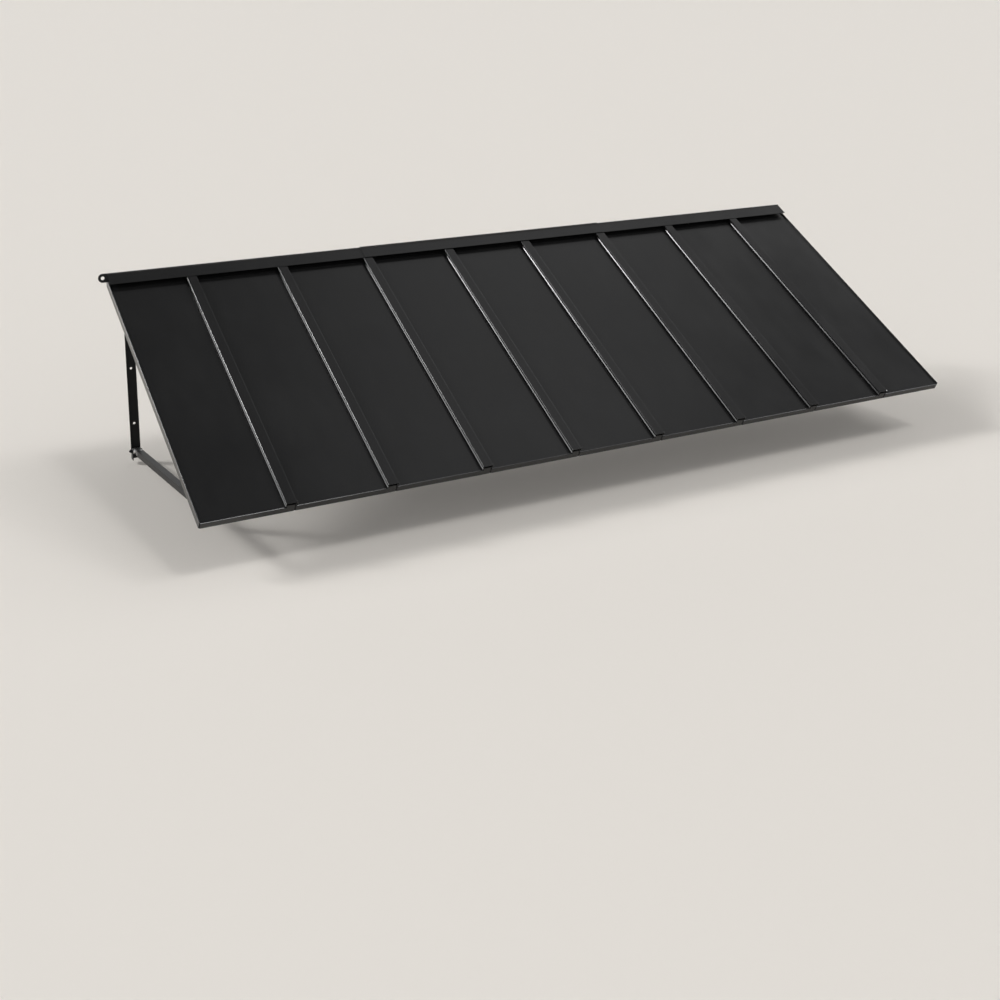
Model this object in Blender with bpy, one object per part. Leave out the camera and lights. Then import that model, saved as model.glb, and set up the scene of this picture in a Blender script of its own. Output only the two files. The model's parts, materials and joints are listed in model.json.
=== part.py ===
"""Standing seam metal door canopy on its wall rail and two side brackets.

Metres, +Z up. The wall is the plane Y = 0 and the canopy reaches out towards -Y.
The origin is on the wall side of the rail, half way along it and half way up it.

Roof pieces are drawn in the slope's own frame: x along the wall, s down the slope
from the wall, and n square to the roof, with n = 0 on top of the seam caps.
"""
import math

import bmesh
import bpy
from mathutils import Vector

# Overall size
WIDTH = 2.642
PROJECTION = 0.927
DROP = 0.457
ROOF_START_HEIGHT = 0.012

# Clearance between pieces that touch
GAP = 0.0003

# Roof pans: all cover one seam pitch, but for a wider one beside the middle
SEAM_COUNT = 8
SEAM_PITCH = 0.302
WIDE_PAN = 6
WIDE_PAN_EXTRA = 0.014
PAN_SHEET = 0.0008
PAN_BEND = 0.0007
PAN_NOSE_BEND = 0.0016
SEAM_HEIGHT = 0.015
LEG_OFFSET = 0.0131
HEM_SPACING = 0.0014
HEM_DEPTH = 0.0040
FASCIA_DEPTH = 0.019
FASCIA_RETURN = 0.006
PAN_REAR = 0.020
PAN_UPSTAND = 0.012
EDGE_NOTCH = 0.0008
EDGE_OVERLAP = 0.003
END_RIB_HEIGHT = 0.005
END_RIB_SPACING = 0.0018
TAB_END = 0.0095
TAB_DROP = 0.0075

# Seam caps
CAP_SHEET = 0.0008
CAP_BEND = 0.0012
CAP_WIDTH = 0.032
CAP_SIDE = 0.0110
CAP_FLARE = 0.0010
SNAP_TOP = 0.0060
SNAP_HEIGHT = 0.0082
SNAP_DEPTH = 0.0010
SNAP_BEND = 0.0006
CAP_FRONT_SETBACK = 0.0005

# Header cap, in three lengths that meet beside the third seam from each end
HEADER_SHEET = 0.0010
HEADER_BEND = 0.0015
HEADER_REACH = 0.053
HEADER_LAP = 0.025
HEADER_JOINT_OFFSET = 0.012
HEADER_END_SETBACK = 0.0015
MIDDLE_UPSTAND_RISE = 0.003
JOINT_SEAM = 3

# Wall rail
RAIL_SHEET = 0.003
RAIL_BEND = 0.003
RAIL_HEIGHT = 0.028
RAIL_LEDGE_END = 0.038
EAR_REACH = 0.0105
EAR_HOLE_DIAMETER = 0.012
RAIL_HOLE_PLACES = (-0.930, -0.230, 0.230, 0.930)
SECTION_GAP = 0.001
END_CLEARANCE = 0.0005

# Rafters under the seams
RAFTER_SHEET = 0.002
RAFTER_BEND = 0.002
RAFTER_WIDTH = 0.040
RAFTER_DEPTH = 0.016
RAFTER_REAR = 0.016
COPE_CLEARANCE = 0.001

# Front bar
BAR_DEPTH = 0.020
BAR_HEIGHT = 0.014
BAR_WALL = 0.0015

# Side brackets, with heights on the wall leg measured from its foot
BRACKET_INSET = 0.061
CHANNEL_WIDTH = 0.030
CHANNEL_SHEET = 0.002
CHANNEL_BEND = 0.002
WALL_LEG_BOTTOM = -0.607
LEG_LIP_DEPTH = 0.006
LEG_EAR_DEPTH = 0.025
LEG_EAR_HEIGHT = 0.034
LEG_EAR_CORNER = 0.003
LEG_HOLE_HEIGHTS = (0.119, 0.304)
PIVOT_HEIGHT = 0.029
PIVOT_STANDOFF = 0.013
END_RAFTER_DEPTH = 0.040
ARM_SIZE = 0.020
ARM_WALL = 0.0012
ARM_START = 0.048
ARM_END = 0.016
ARM_PIN_SETBACK = 0.0365
ARM_PIN_DEPTH = 0.044
EYE_DIAMETER = 0.018
EYE_BAR_LENGTH = 0.088
STAY_STANDOFF = 0.563
STAY_DEPTH = 0.025
STAY_WIDTH = 0.020
STAY_SHEET = 0.0015
STAY_BEND = 0.0015

# Fasteners and the holes for the wall screws
BOLT_DIAMETER = 0.006
BOLT_HEAD_DIAMETER = 0.011
BOLT_HEAD_HEIGHT = 0.0036
BOLT_TIP = 0.003
NUT_FLATS = 0.010
NUT_HEIGHT = 0.005
SCREW_HOLE_DIAMETER = 0.008

# Facets
BEND_STEPS = 3
ROUND_STEPS = 24
CORNER_STEPS = 6

# Worked out from the sizes above
SLOPE_ANGLE = math.atan2(DROP, PROJECTION)
SLOPE_LENGTH = math.hypot(DROP, PROJECTION)
HALF_WIDTH = WIDTH / 2
FIRST_SEAM = -(SEAM_PITCH * (SEAM_COUNT - 1) + WIDE_PAN_EXTRA) / 2
SEAMS = [FIRST_SEAM + SEAM_PITCH * i + (WIDE_PAN_EXTRA if i + 1 >= WIDE_PAN else 0)
         for i in range(SEAM_COUNT)]
PAN_TOP = -SEAM_HEIGHT
PAN_MIDDLE = PAN_TOP - PAN_SHEET / 2
PAN_UNDERSIDE = PAN_TOP - PAN_SHEET
FASCIA_BOTTOM = PAN_TOP - FASCIA_DEPTH
RAFTER_TOP = PAN_UNDERSIDE - GAP
RAFTER_UNDERSIDE = RAFTER_TOP - RAFTER_SHEET
CHANNEL_UNDERSIDE = RAFTER_TOP - CHANNEL_SHEET
BEARER_TOP = min(RAFTER_UNDERSIDE, CHANNEL_UNDERSIDE) - GAP
BEARER_END = HALF_WIDTH - PAN_SHEET - END_CLEARANCE
BAR_FRONT = SLOPE_LENGTH - PAN_SHEET - GAP
BAR_REAR = BAR_FRONT - BAR_DEPTH
RAFTER_FRONT = BAR_FRONT - GAP
EDGE_REAR = PAN_REAR + PAN_SHEET + PAN_BEND
JOINT = SEAMS[-JOINT_SEAM] + HEADER_JOINT_OFFSET
BRACKET_PLACE = HALF_WIDTH - BRACKET_INSET
PIVOT = (-PIVOT_STANDOFF, WALL_LEG_BOTTOM + PIVOT_HEIGHT)
BORE_DIAMETER = BOLT_DIAMETER + 2 * GAP


def slope_point(s, n):
    """The Y and Z of a point of the slope's frame."""
    y = -s * math.cos(SLOPE_ANGLE) - n * math.sin(SLOPE_ANGLE)
    z = ROOF_START_HEIGHT - s * math.sin(SLOPE_ANGLE) + n * math.cos(SLOPE_ANGLE)
    return y, z


def slope_distance(y, n):
    """How far down the slope a level n has the given Y."""
    return (-y - n * math.sin(SLOPE_ANGLE)) / math.cos(SLOPE_ANGLE)


def level_height(y, n):
    """The Z at a given Y of the plane at level n."""
    return slope_point(slope_distance(y, n), n)[1]


ARM_FRONT = slope_point(SLOPE_LENGTH - ARM_PIN_SETBACK, -ARM_PIN_DEPTH)
ARM_RUN = PIVOT[0] - ARM_FRONT[0]
ARM_RISE = ARM_FRONT[1] - PIVOT[1]
ARM_ANGLE = math.atan2(ARM_RISE, ARM_RUN)
ARM_LENGTH = math.hypot(ARM_RUN, ARM_RISE)


# Ways to lay an outline (u, v) and its extrusion w into a frame
def down_slope(u, v, w):
    """Outline in x and n, extruded along s."""
    return u, -w, v


def across_slope(u, v, w):
    """Outline in s and n, extruded along x."""
    return w, -u, v


def across_wall(u, v, w):
    """Outline in Y and Z, extruded along X."""
    return w, u, v


def up_wall(u, v, w):
    """Outline in X and Y, extruded along Z."""
    return u, v, w


def out_of_wall(u, v, w):
    """Outline in X and Z, extruded along Y."""
    return u, w, v


def left_normal(direction):
    return Vector((-direction.y, direction.x))


def bend_points(before, corner, after, radius, steps):
    """Points and left-hand normals round one bend of a line."""
    into = (corner - before).normalized()
    out = (after - corner).normalized()
    turn = math.atan2(into.x * out.y - into.y * out.x, into.dot(out))
    side = math.copysign(1.0, turn)
    start = corner - into * radius * math.tan(abs(turn) / 2)
    centre = start + left_normal(into) * radius * side
    points = []
    for step in range(steps + 1):
        angle = math.atan2(into.y, into.x) + turn * step / steps
        normal = left_normal(Vector((math.cos(angle), math.sin(angle))))
        points.append((centre - normal * radius * side, normal))
    return points


def folded_sheet(path, thickness, radius):
    """Outline of a folded sheet whose middle follows the path with round bends.

    The radius is that of the middle of the sheet, one for all bends or one for each.
    """
    corners = [Vector(point) for point in path]
    radii = radius if isinstance(radius, (list, tuple)) else [radius] * (len(corners) - 2)
    line = [(corners[0], left_normal((corners[1] - corners[0]).normalized()))]
    for i, bend in enumerate(radii):
        line += bend_points(corners[i], corners[i + 1], corners[i + 2], bend, BEND_STEPS)
    line.append((corners[-1], left_normal((corners[-1] - corners[-2]).normalized())))
    half = thickness / 2
    one_face = [point + normal * half for point, normal in line]
    other_face = [point - normal * half for point, normal in line]
    return one_face + other_face[::-1]


def round_corners(points, radii):
    """A closed outline whose corners are rounded, a radius of 0 leaving one sharp."""
    corners = [Vector(point) for point in points]
    outline = []
    for i, corner in enumerate(corners):
        before = corners[i - 1]
        after = corners[(i + 1) % len(corners)]
        if radii[i]:
            arc = bend_points(before, corner, after, radii[i], CORNER_STEPS)
            outline += [point for point, normal in arc]
        else:
            outline.append(corner)
    return outline


def rectangle(low_u, high_u, low_v, high_v):
    return [(low_u, low_v), (high_u, low_v), (high_u, high_v), (low_u, high_v)]


def circle(centre_u, centre_v, diameter, steps=ROUND_STEPS):
    turns = [2 * math.pi * step / steps for step in range(steps)]
    radius = diameter / 2
    return [(centre_u + radius * math.cos(t), centre_v + radius * math.sin(t)) for t in turns]


def closed_mesh(name, work):
    """Turn a bmesh into a mesh with its faces pointing out."""
    bmesh.ops.recalc_face_normals(work, faces=work.faces)
    mesh = bpy.data.meshes.new(name)
    work.to_mesh(mesh)
    work.free()
    return mesh


def add_object(name, mesh):
    piece = bpy.data.objects.new(name, mesh)
    bpy.context.scene.collection.objects.link(piece)
    return piece


def end_value(end, u, v):
    return end(u, v) if callable(end) else end


def prism(name, outline, low, high, place):
    """Extrude an outline; low and high are numbers or functions of the outline's point."""
    work = bmesh.new()
    rings = []
    for end in (low, high):
        rings.append([work.verts.new(place(u, v, end_value(end, u, v))) for u, v in outline])
    work.faces.new(rings[0])
    work.faces.new(rings[1])
    count = len(outline)
    for i in range(count):
        j = (i + 1) % count
        work.faces.new((rings[0][i], rings[0][j], rings[1][j], rings[1][i]))
    return add_object(name, closed_mesh(name, work))


def box_tube(name, low_u, high_u, low_v, high_v, wall, low, high, place):
    """A rectangular tube, open at both ends."""
    outer = rectangle(low_u, high_u, low_v, high_v)
    inner = rectangle(low_u + wall, high_u - wall, low_v + wall, high_v - wall)
    work = bmesh.new()
    loops = []
    for w in (low, high):
        for outline in (outer, inner):
            loops.append([work.verts.new(place(u, v, w)) for u, v in outline])
    for a, b in ((0, 2), (1, 3), (0, 1), (2, 3)):
        for i in range(4):
            j = (i + 1) % 4
            work.faces.new((loops[a][i], loops[a][j], loops[b][j], loops[b][i]))
    return add_object(name, closed_mesh(name, work))


def turned(name, profile, axis_point, steps=ROUND_STEPS):
    """Turn a profile of (distance along the axis, radius) about the axis."""
    work = bmesh.new()
    rings = []
    for along, radius in profile:
        if radius == 0:
            rings.append([work.verts.new(axis_point(along, 0, 0))])
            continue
        turns = [2 * math.pi * step / steps for step in range(steps)]
        ring = [axis_point(along, radius * math.cos(t), radius * math.sin(t)) for t in turns]
        rings.append([work.verts.new(point) for point in ring])
    for first, second in zip(rings, rings[1:]):
        for i in range(steps):
            j = (i + 1) % steps
            if len(first) == 1:
                work.faces.new((first[0], second[j], second[i]))
            elif len(second) == 1:
                work.faces.new((first[i], first[j], second[0]))
            else:
                work.faces.new((first[i], first[j], second[j], second[i]))
    return add_object(name, closed_mesh(name, work))


def dome(start, height, radius, steps=4):
    """Profile points of a low dome that ends on the axis."""
    angles = [math.pi / 2 * step / steps for step in range(steps)]
    points = [(start + height * math.sin(a), radius * math.cos(a)) for a in angles]
    return points + [(start + height, 0)]


def combine(base, tool, operation):
    """Join or cut with another object, which is used up."""
    change = base.modifiers.new(operation.lower(), "BOOLEAN")
    change.operation = operation
    change.solver = "EXACT"
    change.object = tool
    bpy.context.view_layer.update()
    result = base.evaluated_get(bpy.context.evaluated_depsgraph_get())
    mesh = bpy.data.meshes.new_from_object(result)
    base.modifiers.clear()
    base.data = mesh
    bpy.data.objects.remove(tool)


def drill(base, outline, low, high, place):
    combine(base, prism("drill", outline, low, high, place), "DIFFERENCE")


def finish(piece, colour, roughness, metallic):
    """Give a piece its own paint or plating, and smooth its round faces."""
    material = bpy.data.materials.new(piece.name + "_finish")
    material.use_nodes = True
    shader = material.node_tree.nodes["Principled BSDF"]
    shader.inputs["Base Color"].default_value = (*colour, 1.0)
    shader.inputs["Roughness"].default_value = roughness
    shader.inputs["Metallic"].default_value = metallic
    piece.data.materials.clear()
    piece.data.materials.append(material)
    piece.data.shade_smooth()
    piece.data.set_sharp_from_angle(angle=math.radians(35))


def paint(piece):
    finish(piece, (0.022, 0.022, 0.023), 0.45, 0.0)


def plate_with_zinc(piece):
    finish(piece, (0.72, 0.72, 0.71), 0.30, 1.0)


def lay_on_slope(piece):
    piece.location = (0, 0, ROOF_START_HEIGHT)
    piece.rotation_euler = (SLOPE_ANGLE, 0, 0)


# Roof pans
def seam_edge_path(seam, side):
    """Middle line of a pan's upturned leg: side is -1 left of the seam, 1 right of it."""
    leg = seam + side * LEG_OFFSET
    hem = seam + side * (LEG_OFFSET + HEM_SPACING)
    top = -CAP_SHEET - GAP - PAN_SHEET / 2
    inner = leg + side * (EDGE_NOTCH + PAN_SHEET / 2 + EDGE_OVERLAP)
    return [(hem, top - HEM_DEPTH), (hem, top), (leg, top), (leg, PAN_MIDDLE), (inner, PAN_MIDDLE)]


def end_edge_path(side):
    """Middle line of the canopy's end: side flange, water rib and the pan's start."""
    outer = side * (HALF_WIDTH - PAN_SHEET / 2)
    inner = outer - side * END_RIB_SPACING
    top = PAN_TOP + END_RIB_HEIGHT - PAN_SHEET / 2
    overlap = inner - side * (EDGE_NOTCH + PAN_SHEET / 2 + EDGE_OVERLAP)
    return [(outer, FASCIA_BOTTOM), (outer, top), (inner, top), (inner, PAN_MIDDLE),
            (overlap, PAN_MIDDLE)]


def blank_edge(path):
    """Where the flat of the pan starts beside an edge."""
    leg = path[3][0]
    inward = math.copysign(1.0, path[4][0] - leg)
    return leg + inward * (EDGE_NOTCH + PAN_SHEET / 2)


def plumb_end(u, v):
    """Where the canopy's own ends stop, just in front of the rail, at each level."""
    return slope_distance(-RAIL_SHEET - GAP, v)


def pan(name, left_path, right_path, seam_at_right):
    """One roof pan, folded on all four sides, with a tab that closes the seam's mouth."""
    front = SLOPE_LENGTH - PAN_SHEET / 2
    rear = PAN_REAR + PAN_SHEET / 2
    lip = FASCIA_BOTTOM + PAN_SHEET / 2
    blank_path = [(front - FASCIA_RETURN, lip), (front, lip), (front, PAN_MIDDLE),
                  (rear, PAN_MIDDLE), (rear, PAN_TOP + PAN_UPSTAND)]
    blank = folded_sheet(blank_path, PAN_SHEET, [PAN_BEND, PAN_NOSE_BEND, PAN_BEND])
    piece = prism(name, blank, blank_edge(left_path), blank_edge(right_path), across_slope)
    edge_front = SLOPE_LENGTH - PAN_NOSE_BEND - PAN_SHEET
    for path in (left_path, right_path):
        at_end = abs(path[0][0]) > BEARER_END
        outline = folded_sheet(path, PAN_SHEET, PAN_BEND)
        edge = prism("edge", outline, plumb_end if at_end else EDGE_REAR, edge_front, down_slope)
        combine(piece, edge, "UNION")
    if seam_at_right:
        combine(piece, seam_tab(right_path[3][0]), "UNION")
    lay_on_slope(piece)
    paint(piece)
    return piece


def seam_tab(leg):
    """Front plate under a seam cap: leg is the middle of the leg at its left."""
    seam = leg + LEG_OFFSET
    rise = leg + PAN_SHEET / 2
    start = leg - EDGE_NOTCH - EDGE_OVERLAP
    shoulder = PAN_TOP - PAN_NOSE_BEND - PAN_SHEET
    foot = FASCIA_BOTTOM + PAN_BEND + PAN_SHEET / 2
    outline = [(start, foot), (seam + TAB_END, foot), (seam + TAB_END, -TAB_DROP),
               (rise, -TAB_DROP), (rise, shoulder), (start, shoulder)]
    return prism("tab", outline, SLOPE_LENGTH - PAN_SHEET, SLOPE_LENGTH, down_slope)


def add_pans():
    last = SEAM_COUNT
    for i in range(SEAM_COUNT + 1):
        left = seam_edge_path(SEAMS[i - 1], 1) if i > 0 else end_edge_path(-1)
        right = seam_edge_path(SEAMS[i], -1) if i < last else end_edge_path(1)
        pan(f"roof_pan_{i + 1}", left, right, i < last)


# Seam caps
def seam_cap(name, seam):
    """A channel that snaps under the hems of two pans' legs and flares out below them."""
    side = CAP_WIDTH / 2 - CAP_SHEET / 2
    half = [(side + CAP_FLARE, -CAP_SIDE), (side - SNAP_DEPTH, -SNAP_HEIGHT),
            (side, -SNAP_TOP), (side, -CAP_SHEET / 2)]
    path = [(seam - across, n) for across, n in half]
    path += [(seam + across, n) for across, n in half[::-1]]
    bends = [SNAP_BEND, SNAP_BEND, CAP_BEND, CAP_BEND, SNAP_BEND, SNAP_BEND]
    outline = folded_sheet(path, CAP_SHEET, bends)
    piece = prism(name, outline, EDGE_REAR, SLOPE_LENGTH - CAP_FRONT_SETBACK, down_slope)
    lay_on_slope(piece)
    paint(piece)


# Header cap
def header_outline(lift, rise):
    """Side outline: a short upstand at the wall and a flat on top of the seam caps."""
    level = GAP + HEADER_SHEET / 2 + lift
    upstand = -RAIL_SHEET - GAP - HEADER_SHEET / 2 - lift
    path = [(upstand, RAIL_HEIGHT / 2 + rise), (upstand, level_height(upstand, level)),
            slope_point(HEADER_REACH, level)]
    return folded_sheet(path, HEADER_SHEET, HEADER_BEND)


def header_cap(name, low, high, lift=0, rise=0):
    paint(prism(name, header_outline(lift, rise), low, high, across_wall))


def add_header():
    """Two end lengths that run on under the ends of the middle one."""
    end = HALF_WIDTH - HEADER_END_SETBACK
    header_cap("header_cap_left", -end, -JOINT + HEADER_LAP)
    header_cap("header_cap_right", JOINT - HEADER_LAP, end)
    lift = HEADER_SHEET + GAP
    header_cap("header_cap_middle", -JOINT, JOINT, lift, MIDDLE_UPSTAND_RISE)


# Wall rail
def rail_outline():
    """Side outline: a web on the wall and a ledge that carries the rafters."""
    web = -RAIL_SHEET / 2
    ledge = BEARER_TOP - RAIL_SHEET / 2
    path = [(web, RAIL_HEIGHT / 2), (web, level_height(web, ledge)),
            slope_point(RAIL_LEDGE_END, ledge)]
    return folded_sheet(path, RAIL_SHEET, RAIL_BEND)


def rail_ear():
    """Round-ended plate that carries the web on past the roof's left end."""
    radius = RAIL_HEIGHT / 2
    centre = HALF_WIDTH + EAR_REACH
    root = HALF_WIDTH - RAIL_HEIGHT
    turns = [math.pi * (step / ROUND_STEPS - 0.5) for step in range(ROUND_STEPS + 1)]
    outline = [(-root, radius), (-root, -radius)]
    outline += [(-centre - radius * math.cos(t), radius * math.sin(t)) for t in turns]
    return prism("ear", outline, -RAIL_SHEET, 0, out_of_wall)


def wall_rail(name, low, high, has_ear=False):
    piece = prism(name, rail_outline(), low, high, across_wall)
    holes = [circle(place, 0, SCREW_HOLE_DIAMETER) for place in RAIL_HOLE_PLACES
             if low < place < high]
    if has_ear:
        combine(piece, rail_ear(), "UNION")
        holes.append(circle(-HALF_WIDTH - EAR_REACH, 0, EAR_HOLE_DIAMETER))
    for hole in holes:
        drill(piece, hole, -2 * RAIL_SHEET, RAIL_SHEET, out_of_wall)
    paint(piece)


def add_rail():
    joint = SEAMS[-JOINT_SEAM]
    half_gap = SECTION_GAP / 2
    wall_rail("wall_rail_left", -BEARER_END, -joint - half_gap, has_ear=True)
    wall_rail("wall_rail_middle", -joint + half_gap, joint - half_gap)
    wall_rail("wall_rail_right", joint + half_gap, BEARER_END)


# Rafters and front bar
def rafter(name, place, width, depth, sheet, bend):
    """A channel, open below, whose web laps over the rail's ledge and the front bar."""
    side = width / 2 - sheet / 2
    web = RAFTER_TOP - sheet / 2
    foot = RAFTER_TOP - depth
    path = [(place - side, foot), (place - side, web), (place + side, web), (place + side, foot)]
    outline = folded_sheet(path, sheet, bend)
    piece = prism(name, outline, RAFTER_REAR, RAFTER_FRONT, down_slope)
    under_web = RAFTER_TOP - sheet - GAP / 2
    rear_cope = RAIL_LEDGE_END + COPE_CLEARANCE
    front_cope = BAR_REAR - COPE_CLEARANCE
    for start, end in ((0, rear_cope), (front_cope, SLOPE_LENGTH)):
        outline = rectangle(place - width, place + width, foot - depth, under_web)
        drill(piece, outline, start, end, down_slope)
    return piece


def seam_rafter(name, seam):
    piece = rafter(name, seam, RAFTER_WIDTH, RAFTER_DEPTH, RAFTER_SHEET, RAFTER_BEND)
    lay_on_slope(piece)
    paint(piece)


def end_rafter(name, place):
    """The bracket's own rafter, bored near its front for the arm's pin."""
    piece = rafter(name, place, CHANNEL_WIDTH, END_RAFTER_DEPTH, CHANNEL_SHEET, CHANNEL_BEND)
    pin = circle(SLOPE_LENGTH - ARM_PIN_SETBACK, -ARM_PIN_DEPTH, BORE_DIAMETER)
    drill(piece, pin, place - CHANNEL_WIDTH, place + CHANNEL_WIDTH, across_slope)
    lay_on_slope(piece)
    paint(piece)


def add_front_bar():
    joint = SEAMS[-JOINT_SEAM]
    half_gap = SECTION_GAP / 2
    spans = {"front_bar_left": (-BEARER_END, -joint - half_gap),
             "front_bar_middle": (-joint + half_gap, joint - half_gap),
             "front_bar_right": (joint + half_gap, BEARER_END)}
    for name, (low, high) in spans.items():
        piece = box_tube(name, BAR_REAR, BAR_FRONT, BEARER_TOP - BAR_HEIGHT, BEARER_TOP,
                         BAR_WALL, low, high, across_slope)
        lay_on_slope(piece)
        paint(piece)


# Side brackets
def wall_leg(name, place):
    """A folded strip on the wall with two ears at its foot for the arm's bolt."""
    side = CHANNEL_WIDTH / 2 - CHANNEL_SHEET / 2
    web = -CHANNEL_SHEET / 2
    path = [(place - side, -LEG_EAR_DEPTH), (place - side, web),
            (place + side, web), (place + side, -LEG_EAR_DEPTH)]
    top = level_height(0, BEARER_TOP - RAIL_SHEET) - RAIL_SHEET
    outline = folded_sheet(path, CHANNEL_SHEET, CHANNEL_BEND)
    piece = prism(name, outline, WALL_LEG_BOTTOM, top, up_wall)
    shoulder = WALL_LEG_BOTTOM + LEG_EAR_HEIGHT
    above = top + LEG_EAR_HEIGHT
    below = WALL_LEG_BOTTOM - LEG_EAR_HEIGHT
    beyond = -2 * LEG_EAR_DEPTH
    trim = [(-LEG_LIP_DEPTH, above), (-LEG_LIP_DEPTH, shoulder), (-LEG_EAR_DEPTH, shoulder),
            (-LEG_EAR_DEPTH, WALL_LEG_BOTTOM), (-LEG_LIP_DEPTH, WALL_LEG_BOTTOM),
            (-LEG_LIP_DEPTH, below), (beyond, below), (beyond, above)]
    rounds = [0, LEG_EAR_CORNER, LEG_EAR_CORNER, LEG_EAR_CORNER, 0, 0, 0, 0]
    sides = (place - CHANNEL_WIDTH, place + CHANNEL_WIDTH)
    drill(piece, round_corners(trim, rounds), *sides, across_wall)
    drill(piece, circle(*PIVOT, BORE_DIAMETER), *sides, across_wall)
    for height in LEG_HOLE_HEIGHTS:
        hole = circle(place, WALL_LEG_BOTTOM + height, SCREW_HOLE_DIAMETER)
        drill(piece, hole, -2 * CHANNEL_SHEET, CHANNEL_SHEET, out_of_wall)
    paint(piece)


def place_on_arm(piece, place, at_front=False):
    """Lay a piece drawn along -Y from its eye on the arm's line, from either end."""
    y, z = ARM_FRONT if at_front else PIVOT
    piece.location = (place, y, z)
    piece.rotation_euler = (-ARM_ANGLE + (math.pi if at_front else 0), 0, 0)


def arm_tube(name, place):
    half = ARM_SIZE / 2
    piece = box_tube(name, -half, half, -half, half, ARM_WALL,
                     -(ARM_LENGTH - ARM_END), -ARM_START, out_of_wall)
    place_on_arm(piece, place)
    paint(piece)


def arm_eye(name, place, at_front):
    """A plated end piece: a square bar in the tube and a bored eye between the ears."""
    half = ARM_SIZE / 2 - ARM_WALL - GAP
    piece = prism(name, rectangle(-half, half, -half, half), -EYE_BAR_LENGTH, 0, out_of_wall)
    half_eye = CHANNEL_WIDTH / 2 - CHANNEL_SHEET - GAP
    combine(piece, prism("eye", circle(0, 0, EYE_DIAMETER), -half_eye, half_eye, across_wall),
            "UNION")
    drill(piece, circle(0, 0, BORE_DIAMETER), -CHANNEL_WIDTH, CHANNEL_WIDTH, across_wall)
    place_on_arm(piece, place, at_front)
    plate_with_zinc(piece)


def stay(name, place):
    """An upright channel that stands on the arm and ends under the end rafter's web."""
    side = STAY_WIDTH / 2 - STAY_SHEET / 2
    back = -STAY_STANDOFF - STAY_SHEET / 2
    mouth = -STAY_STANDOFF - STAY_DEPTH
    path = [(place - side, mouth), (place - side, back), (place + side, back), (place + side, mouth)]

    def foot(x, y):
        along = PIVOT[0] - y
        top_face = (ARM_SIZE / 2 + GAP) / math.cos(ARM_ANGLE)
        return PIVOT[1] + along * math.tan(ARM_ANGLE) + top_face

    def head(x, y):
        return level_height(y, CHANNEL_UNDERSIDE - GAP)

    piece = prism(name, folded_sheet(path, STAY_SHEET, STAY_BEND), foot, head, up_wall)
    paint(piece)


# Fasteners, drawn along X from the middle of the bracket
def along_x(direction):
    return lambda along, a, b: (direction * along, a, b)


def pivot_bolt(name, place, outward):
    """Round-headed bolt whose nut is on the outer side of the leg."""
    half = CHANNEL_WIDTH / 2 + GAP
    shank = BOLT_DIAMETER / 2
    end = half + GAP + NUT_HEIGHT + BOLT_TIP
    head = dome(half, BOLT_HEAD_HEIGHT, BOLT_HEAD_DIAMETER / 2)
    profile = [(end, 0), (end, shank * 0.8), (end - shank * 0.25, shank), (-half, shank)]
    profile += [(-along, radius) for along, radius in head]
    piece = turned(name, profile, along_x(outward))
    piece.location = (place, *PIVOT)
    paint(piece)


def pivot_nut(name, place, outward):
    low = CHANNEL_WIDTH / 2 + GAP
    high = low + NUT_HEIGHT
    corners = circle(0, 0, NUT_FLATS / math.cos(math.pi / 6), 6)
    limits = sorted((outward * low, outward * high))
    piece = prism(name, corners, *limits, across_wall)
    chamfer = NUT_FLATS * 0.08
    tip = NUT_FLATS / 2
    profile = [(low, 0), (low, tip), (low + chamfer, tip + 2 * chamfer),
               (high - chamfer, tip + 2 * chamfer), (high, tip), (high, 0)]
    combine(piece, turned("barrel", profile, along_x(outward)), "INTERSECT")
    drill(piece, circle(0, 0, BORE_DIAMETER), -2 * high, 2 * high, across_wall)
    piece.location = (place, *PIVOT)
    paint(piece)


def arm_pin(name, place):
    """Riveted pin through the end rafter and the arm's front eye."""
    half = CHANNEL_WIDTH / 2 + GAP
    head = dome(half, BOLT_HEAD_HEIGHT, BOLT_HEAD_DIAMETER / 2)
    shank = BOLT_DIAMETER / 2
    profile = [(-along, radius) for along, radius in head[::-1]]
    profile += [(-half, shank), (half, shank)] + head
    piece = turned(name, profile, along_x(1))
    piece.location = (place, *ARM_FRONT)
    paint(piece)


def add_bracket(side_name, outward):
    place = outward * BRACKET_PLACE
    end_rafter(f"end_rafter_{side_name}", place)
    wall_leg(f"wall_leg_{side_name}", place)
    arm_tube(f"arm_tube_{side_name}", place)
    arm_eye(f"arm_rear_eye_{side_name}", place, at_front=False)
    arm_eye(f"arm_front_eye_{side_name}", place, at_front=True)
    stay(f"arm_stay_{side_name}", place)
    pivot_bolt(f"pivot_bolt_{side_name}", place, outward)
    pivot_nut(f"pivot_nut_{side_name}", place, outward)
    arm_pin(f"arm_pin_{side_name}", place)


def build():
    for leftover in list(bpy.data.objects):
        bpy.data.objects.remove(leftover)
    add_pans()
    for number, seam in enumerate(SEAMS, 1):
        seam_cap(f"seam_cap_{number}", seam)
        seam_rafter(f"seam_rafter_{number}", seam)
    add_header()
    add_rail()
    add_front_bar()
    add_bracket("left", -1)
    add_bracket("right", 1)


build()
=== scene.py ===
"""Looks of the standing seam door canopy: paint, plating, small fasteners, floor, light and camera."""
import json
import math

import bmesh
import bpy
from mathutils import Matrix, Vector


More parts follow.
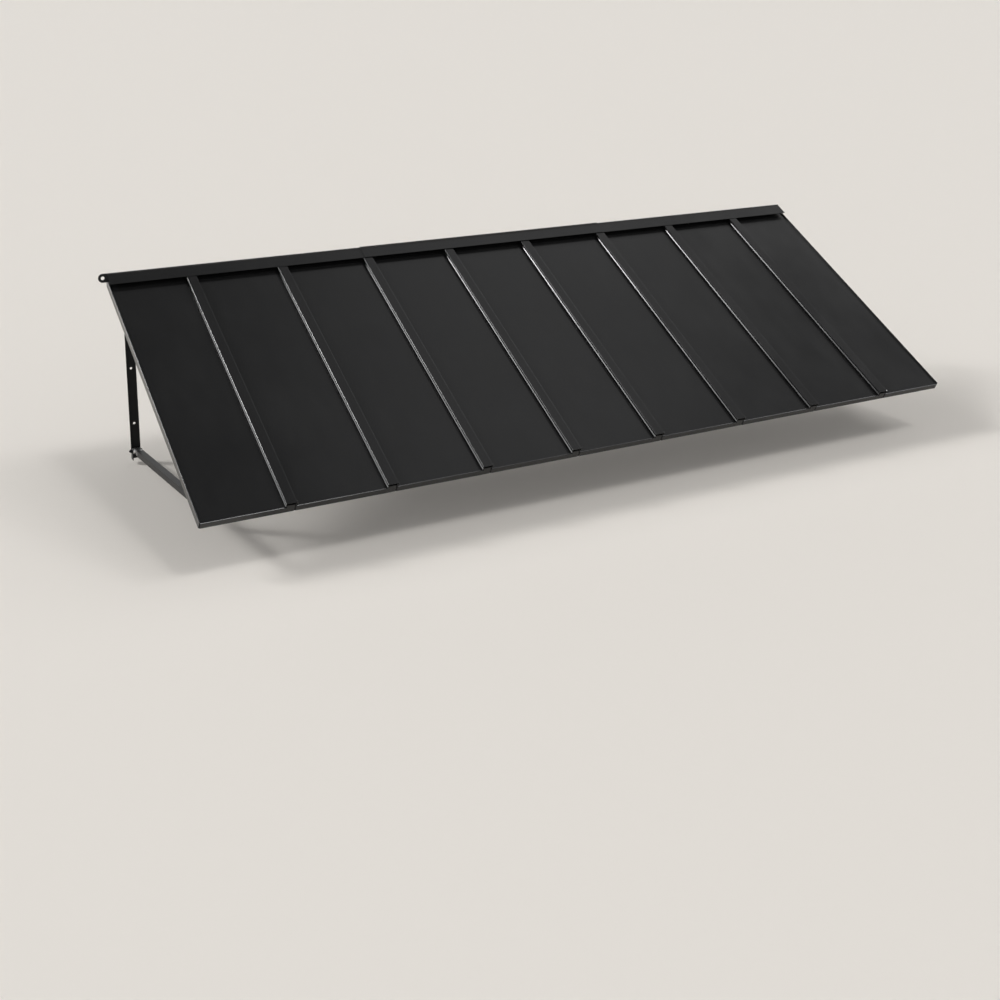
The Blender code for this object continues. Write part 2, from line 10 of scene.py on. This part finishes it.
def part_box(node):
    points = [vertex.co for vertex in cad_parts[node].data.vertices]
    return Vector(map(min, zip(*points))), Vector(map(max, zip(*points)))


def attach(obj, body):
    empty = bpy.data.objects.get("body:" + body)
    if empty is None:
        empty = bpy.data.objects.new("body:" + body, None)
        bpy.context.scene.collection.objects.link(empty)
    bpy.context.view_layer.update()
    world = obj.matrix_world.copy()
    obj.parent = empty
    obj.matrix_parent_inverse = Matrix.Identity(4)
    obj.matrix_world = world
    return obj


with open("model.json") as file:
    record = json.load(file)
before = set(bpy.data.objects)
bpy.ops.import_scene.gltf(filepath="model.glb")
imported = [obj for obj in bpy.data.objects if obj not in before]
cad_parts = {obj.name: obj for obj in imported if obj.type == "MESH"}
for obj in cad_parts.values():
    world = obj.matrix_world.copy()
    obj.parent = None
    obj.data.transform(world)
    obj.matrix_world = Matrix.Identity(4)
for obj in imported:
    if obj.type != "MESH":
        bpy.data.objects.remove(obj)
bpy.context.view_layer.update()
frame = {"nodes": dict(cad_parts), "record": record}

nodes = frame["nodes"]

# Camera, in metres and degrees, fitted to the photograph's 1000 x 1000 frame
CAMERA_PLACE = Vector((-2.26942, -4.30699, 1.0989))
CAMERA_YAW = 28.5426
CAMERA_PITCH = 15.2057
CAMERA_ROLL = 0.841
CAMERA_LENS = 50.7346
CAMERA_SHIFT_Y = -0.2

# Floor
FLOOR_HEIGHT = -0.62
FLOOR_SIZE = 60.0
FLOOR_COLOUR = (0.815, 0.776, 0.724)

# Sky: one level near the horizon, and higher up a level that depends on the direction's X
HORIZON_LEVEL = 0.75
HORIZON_HEIGHTS = (0.35, 0.68)
UPPER_SKY = [(0.0, 0.20), (0.20, 0.15), (0.26, 0.17), (0.32, 0.27), (0.38, 0.41), (0.44, 0.46), (0.50, 0.45),
             (0.54, 0.46), (0.58, 0.34), (0.62, 0.23), (0.70, 0.24), (1.0, 0.50)]

# Soft lamps in the sky: (direction, half angle of the core, half angle of the edge, brightness)
LAMPS = [
    ((-0.683, 0.495, 0.540), 2.5, 4.5, 34.0),
    ((-0.665, 0.440, 0.600), 2.0, 4.5, 28.0),
    ((-0.640, 0.370, 0.670), 4.0, 9.0, 8.0),
    ((-0.740, 0.480, 0.470), 8.0, 16.0, 4.0),
    ((0.270, -0.285, 0.920), 2.0, 7.0, 14.0),
    ((0.500, -0.250, 0.830), 8.0, 18.0, 1.2),
    ((0.686, -0.212, 0.697), 5.0, 10.0, 5.0),
    ((0.700, 0.420, 0.580), 4.0, 11.0, 0.8),
]

# Slope frame of the roof, as in the part: x along the wall, s down the slope, n square to it
ROOF_START_HEIGHT = 0.012
SLOPE_ANGLE = math.atan2(0.457, 0.927)
SLOPE_LENGTH = math.hypot(0.457, 0.927)


def on_slope(x, s, n):
    cos, sin = math.cos(SLOPE_ANGLE), math.sin(SLOPE_ANGLE)
    return Vector((x, -s * cos - n * sin, ROOF_START_HEIGHT - s * sin + n * cos))


# Node helpers
class Shader:
    """A material's node tree with short ways to add and join nodes."""

    def __init__(self, name):
        self.material = bpy.data.materials.new(name)
        self.material.use_nodes = True
        self.tree = self.material.node_tree
        self.surface = self.tree.nodes["Principled BSDF"]
        self.place = self.node("ShaderNodeTexCoord").outputs["Object"]

    def node(self, kind, **settings):
        made = self.tree.nodes.new(kind)
        for key, value in settings.items():
            setattr(made, key, value)
        return made

    def join(self, output, socket):
        self.tree.links.new(output, socket)

    def noise(self, scale, detail=2.0, stretch=None):
        place = self.place
        if stretch:
            mapping = self.node("ShaderNodeMapping")
            mapping.inputs["Scale"].default_value = stretch
            self.join(place, mapping.inputs["Vector"])
            place = mapping.outputs["Vector"]
        made = self.node("ShaderNodeTexNoise")
        made.inputs["Scale"].default_value = scale
        made.inputs["Detail"].default_value = detail
        self.join(place, made.inputs["Vector"])
        return made.outputs["Fac"]

    def spread(self, value, low, high, from_low=0.3, from_high=0.7):
        made = self.node("ShaderNodeMapRange")
        for key, number in (("From Min", from_low), ("From Max", from_high),
                            ("To Min", low), ("To Max", high)):
            made.inputs[key].default_value = number
        self.join(value, made.inputs["Value"])
        return made.outputs["Result"]

    def sum(self, first, second):
        made = self.node("ShaderNodeMath", operation="ADD")
        self.join(first, made.inputs[0])
        self.join(second, made.inputs[1])
        return made.outputs["Value"]

    def blend(self, factor, first, second):
        """Mix two colours; the mix node's colour sockets are inputs 6 and 7 and output 2."""
        made = self.node("ShaderNodeMix", data_type="RGBA")
        made.inputs[6].default_value = (*first, 1)
        made.inputs[7].default_value = (*second, 1)
        self.join(factor, made.inputs[0])
        return made.outputs[2]

    def bump(self, *layers):
        """Stack bumps, each given as (height, distance in metres)."""
        normal = None
        for height, distance in layers:
            made = self.node("ShaderNodeBump")
            made.inputs["Distance"].default_value = distance
            self.join(height, made.inputs["Height"])
            if normal:
                self.join(normal, made.inputs["Normal"])
            normal = made.outputs["Normal"]
        self.join(normal, self.surface.inputs["Normal"])


def powder_coat(name, dark, light, roughness, specular):
    """Black powder coat: fine orange peel, a slow wave of the sheet and a trace of dust."""
    made = Shader(name)
    cloud = made.noise(3.0, 4.0)
    dust = made.noise(22.0, 6.0, stretch=(1.0, 0.35, 0.35))
    mixed = made.sum(made.spread(cloud, 0.0, 0.6), made.spread(dust, 0.0, 0.4))
    made.join(made.blend(mixed, dark, light), made.surface.inputs["Base Color"])
    made.join(made.spread(mixed, roughness, roughness + 0.07, 0.0, 1.0), made.surface.inputs["Roughness"])
    made.surface.inputs["Specular IOR Level"].default_value = specular
    made.bump((made.noise(4.0, 1.0), 0.0012), (made.noise(520.0, 2.0), 0.000012))
    return made.material


def bright_zinc(name):
    """Bright zinc plating with a faint drawn grain."""
    made = Shader(name)
    grain = made.noise(900.0, 2.0, stretch=(1.0, 0.08, 1.0))
    cloud = made.noise(45.0, 3.0)
    made.join(made.blend(cloud, (0.80, 0.80, 0.81), (0.93, 0.93, 0.92)), made.surface.inputs["Base Color"])
    made.join(made.spread(grain, 0.20, 0.34), made.surface.inputs["Roughness"])
    made.surface.inputs["Metallic"].default_value = 1.0
    made.bump((grain, 0.00001))
    return made.material


# Small fasteners, drawn along +Z from the face they sit on
def turned_profile(work, profile, steps):
    rings = []
    for height, radius in profile:
        turns = [2 * math.pi * i / steps for i in range(steps)]
        rings.append([work.verts.new((radius * math.cos(t), radius * math.sin(t), height)) for t in turns])
    for low, high in zip(rings, rings[1:]):
        for i in range(steps):
            j = (i + 1) % steps
            work.faces.new((low[i], low[j], high[j], high[i]))
    work.faces.new(rings[0][::-1])
    work.faces.new(rings[-1])


def hex_washer_head(work, across_flats, height, washer):
    turned_profile(work, [(0, washer / 2), (0.0005, washer / 2), (0.0009, washer * 0.42)], 24)
    radius = across_flats / math.sqrt(3)
    edge = height * 0.15
    turned_profile(work, [(0.0006, radius), (height - edge, radius), (height, radius - edge)], 6)


def add_pieces(name, draw, frames, finish):
    """One object holding the same small piece at several places, each a 4 x 4 matrix."""
    work = bmesh.new()
    for matrix in frames:
        single = bmesh.new()
        draw(single)
        single.transform(matrix)
        mesh = bpy.data.meshes.new("single")
        single.to_mesh(mesh)
        single.free()
        work.from_mesh(mesh)
        bpy.data.meshes.remove(mesh)
    bmesh.ops.recalc_face_normals(work, faces=work.faces)
    mesh = bpy.data.meshes.new(name)
    work.to_mesh(mesh)
    work.free()
    mesh.shade_smooth()
    mesh.set_sharp_from_angle(angle=math.radians(35))
    mesh.materials.append(finish)
    piece = bpy.data.objects.new(name, mesh)
    bpy.context.scene.collection.objects.link(piece)
    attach(piece, "root")


def facing(place, direction):
    """Matrix that puts a piece at a place with its +Z along a direction."""
    return Matrix.Translation(place) @ Vector(direction).to_track_quat("Z", "Y").to_matrix().to_4x4()


def add_fasteners(paint, zinc):
    below = on_slope(0, 0, 0) - on_slope(0, 0, 1)
    caps = [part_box(f"seam_cap_{i}") for i in range(1, 9)]

    def cap_screw(box):
        side = box[1].x - 0.0010
        return facing(on_slope(side, SLOPE_LENGTH - 0.0050, -0.0037), (1, 0, 0))

    def draw_cap_screw(work):
        hex_washer_head(work, 0.0055, 0.0040, 0.0070)

    screws = [cap_screw(box) for box in caps]
    add_pieces("cap_end_screws", draw_cap_screw, screws[:-1], paint)
    add_pieces("cap_end_screw_8", draw_cap_screw, screws[-1:], zinc)

    # Screws up through the front bar and the rail's ledge into every rafter
    rafters = [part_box(f"seam_rafter_{i}") for i in range(1, 9)]
    rafters += [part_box(f"end_rafter_{side}") for side in ("left", "right")]
    middles = [(box[0].x + box[1].x) / 2 for box in rafters]
    bar_under, ledge_under = -0.0326, -0.0216

    def draw_under_screw(work):
        hex_washer_head(work, 0.0070, 0.0040, 0.0100)

    bar_screws = [facing(on_slope(x, SLOPE_LENGTH - 0.0135, bar_under), below) for x in middles]
    ledge_screws = [facing(on_slope(x, 0.027, ledge_under), below) for x in middles]
    add_pieces("front_bar_screws", draw_under_screw, bar_screws, zinc)
    add_pieces("rail_ledge_screws", draw_under_screw, ledge_screws, zinc)


def dress_nodes(roof, metalwork, zinc):
    slots = {entry["node"]: entry["material_slot"] for entry in frame["record"]["subparts"]}
    finishes = {"roof_paint": roof, "frame_paint": metalwork, "zinc_plate": zinc}
    for name, piece in nodes.items():
        piece.data.materials.clear()
        piece.data.materials.append(finishes[slots[name]])


# Stage
def add_floor():
    half = FLOOR_SIZE / 2
    work = bmesh.new()
    corners = [(-half, -half), (half, -half), (half, half), (-half, half)]
    work.faces.new([work.verts.new((x, y, FLOOR_HEIGHT)) for x, y in corners])
    mesh = bpy.data.meshes.new("floor")
    work.to_mesh(mesh)
    work.free()
    material = bpy.data.materials.new("floor_finish")
    material.use_nodes = True
    surface = material.node_tree.nodes["Principled BSDF"]
    surface.inputs["Base Color"].default_value = (*FLOOR_COLOUR, 1)
    surface.inputs["Roughness"].default_value = 0.9
    mesh.materials.append(material)
    floor = bpy.data.objects.new("floor", mesh)
    bpy.context.scene.collection.objects.link(floor)


def add_sky():
    world = bpy.data.worlds.new("studio")
    bpy.context.scene.world = world
    world.use_nodes = True
    tree = world.node_tree
    direction = tree.nodes.new("ShaderNodeTexCoord").outputs["Generated"]
    split = tree.nodes.new("ShaderNodeSeparateXYZ")
    tree.links.new(direction, split.inputs[0])
    ramp = tree.nodes.new("ShaderNodeValToRGB")
    tree.links.new(split.outputs["X"], ramp.inputs["Fac"])
    stops = ramp.color_ramp.elements
    stops[0].color = (*[UPPER_SKY[0][1]] * 3, 1)
    stops[1].color = (*[UPPER_SKY[-1][1]] * 3, 1)
    for place, level in UPPER_SKY[1:-1]:
        stops.new(place).color = (level, level, level, 1)
    rise = tree.nodes.new("ShaderNodeMapRange")
    rise.interpolation_type = "SMOOTHSTEP"
    rise.inputs["From Min"].default_value = HORIZON_HEIGHTS[0]
    rise.inputs["From Max"].default_value = HORIZON_HEIGHTS[1]
    rise.inputs["To Min"].default_value = HORIZON_LEVEL
    tree.links.new(ramp.outputs["Color"], rise.inputs["To Max"])
    tree.links.new(split.outputs["Z"], rise.inputs["Value"])
    total = rise.outputs["Result"]
    for aim, core, edge, level in LAMPS:
        dot = tree.nodes.new("ShaderNodeVectorMath")
        dot.operation = "DOT_PRODUCT"
        tree.links.new(direction, dot.inputs[0])
        dot.inputs[1].default_value = Vector(aim).normalized()
        disc = tree.nodes.new("ShaderNodeMapRange")
        disc.interpolation_type = "SMOOTHSTEP"
        disc.inputs["From Min"].default_value = math.cos(math.radians(edge))
        disc.inputs["From Max"].default_value = math.cos(math.radians(core))
        disc.inputs["To Min"].default_value = 0.0
        disc.inputs["To Max"].default_value = level
        tree.links.new(dot.outputs["Value"], disc.inputs["Value"])
        add = tree.nodes.new("ShaderNodeVectorMath")
        add.operation = "ADD"
        tree.links.new(total, add.inputs[0])
        tree.links.new(disc.outputs["Result"], add.inputs[1])
        total = add.outputs["Vector"]
    tree.links.new(total, tree.nodes["Background"].inputs["Color"])


def add_camera():
    yaw, pitch, roll = (math.radians(a) for a in (CAMERA_YAW, CAMERA_PITCH, CAMERA_ROLL))
    forward = Vector((math.sin(yaw) * math.cos(pitch), math.cos(yaw) * math.cos(pitch), -math.sin(pitch)))
    level_right = Vector((math.cos(yaw), -math.sin(yaw), 0))
    level_up = level_right.cross(forward)
    right = level_right * math.cos(roll) + level_up * math.sin(roll)
    up = level_up * math.cos(roll) - level_right * math.sin(roll)
    data = bpy.data.cameras.new("camera")
    data.lens = CAMERA_LENS
    data.sensor_width = 36.0
    data.shift_y = CAMERA_SHIFT_Y
    camera = bpy.data.objects.new("camera", data)
    bpy.context.scene.collection.objects.link(camera)
    camera.matrix_world = Matrix((
        (right.x, up.x, -forward.x, CAMERA_PLACE.x),
        (right.y, up.y, -forward.y, CAMERA_PLACE.y),
        (right.z, up.z, -forward.z, CAMERA_PLACE.z),
        (0, 0, 0, 1)))
    bpy.context.scene.camera = camera


def main():
    bpy.context.scene.view_settings.view_transform = "Standard"
    roof = powder_coat("roof_powder_coat", (0.0070, 0.0070, 0.0073), (0.0108, 0.0108, 0.0110), 0.16, 0.5)
    metalwork = powder_coat("frame_powder_coat", (0.0200, 0.0200, 0.0203), (0.0260, 0.0260, 0.0263), 0.34, 0.08)
    zinc = bright_zinc("zinc_plating")
    dress_nodes(roof, metalwork, zinc)
    add_fasteners(roof, zinc)
    add_floor()
    add_sky()
    add_camera()


main()
